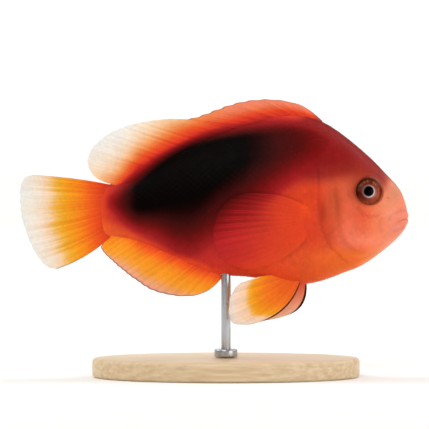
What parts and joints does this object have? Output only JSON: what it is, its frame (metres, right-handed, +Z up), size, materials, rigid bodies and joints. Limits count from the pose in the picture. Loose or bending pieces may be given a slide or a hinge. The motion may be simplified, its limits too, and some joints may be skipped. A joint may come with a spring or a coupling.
{
  "type": "red saddle clownfish",
  "caption": "Life-size swimming clownfish with an orange-red body, black saddle and pale-edged fins, held by a short steel rod on an oval wooden stand.",
  "frame": {"origin": "middle of the stand's underside, on the axis of its rod", "axes": "+X towards the fish's snout, -Y towards its right side, +Z up from the stand's underside"},
  "size_m": [0.1194, 0.046, 0.0854],
  "materials": {
    "skin_orange": "satin",
    "skin_black": "satin",
    "skin_red": "satin",
    "fin_red": "satin",
    "fin_pale": "satin",
    "eye": "gloss",
    "stand_wood": "satin",
    "stand_steel": "satin"
  },
  "bodies": {
    "root": {"head": "skin_orange", "lower_jaw": "skin_orange", "gill_cover_right": "skin_orange", "gill_cover_left": "skin_orange", "trunk": "skin_black", "tail_stalk": "skin_red", "eye_right": "eye", "eye_left": "eye", "dorsal_fin_spiny": "fin_red", "dorsal_fin_soft": "fin_pale", "anal_fin": "fin_pale", "tail_fin": "fin_pale", "pectoral_fin_right": "fin_red", "pectoral_fin_left": "fin_red", "pelvic_fin_right": "fin_pale", "pelvic_fin_left": "fin_pale", "stand_base": "stand_wood", "stand_collar": "stand_steel", "stand_rod": "stand_steel"}
  },
  "joints": []
}
